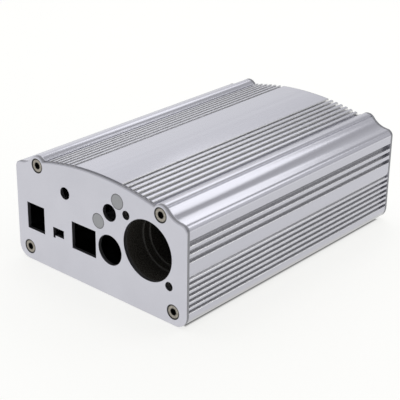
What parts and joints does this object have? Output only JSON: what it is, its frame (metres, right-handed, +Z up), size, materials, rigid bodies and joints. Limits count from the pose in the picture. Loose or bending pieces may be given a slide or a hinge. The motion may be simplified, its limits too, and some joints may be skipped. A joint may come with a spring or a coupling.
{
  "type": "extruded aluminium enclosure",
  "caption": "Finned extruded aluminium case with an arched top, closed by two screwed end plates, the front one cut out for sockets and controls.",
  "frame": {"origin": "middle of the flat underside, end plates included", "axes": "+Z up, +Y from the front plate to the rear plate, +X to the right seen from the front"},
  "size_m": [0.09, 0.129, 0.048],
  "materials": {
    "extrusion": "satin clear anodised",
    "plate": "fine matt clear anodised",
    "screw": "nickel plated, warm tint",
    "stud": "satin",
    "socket": "matt black"
  },
  "bodies": {
    "root": {"extruded_body": "extrusion", "front_plate": "plate", "rear_plate": "plate", "plate_screws": "screw", "flush_studs": "stud", "socket_barrel": "socket"}
  },
  "joints": []
}
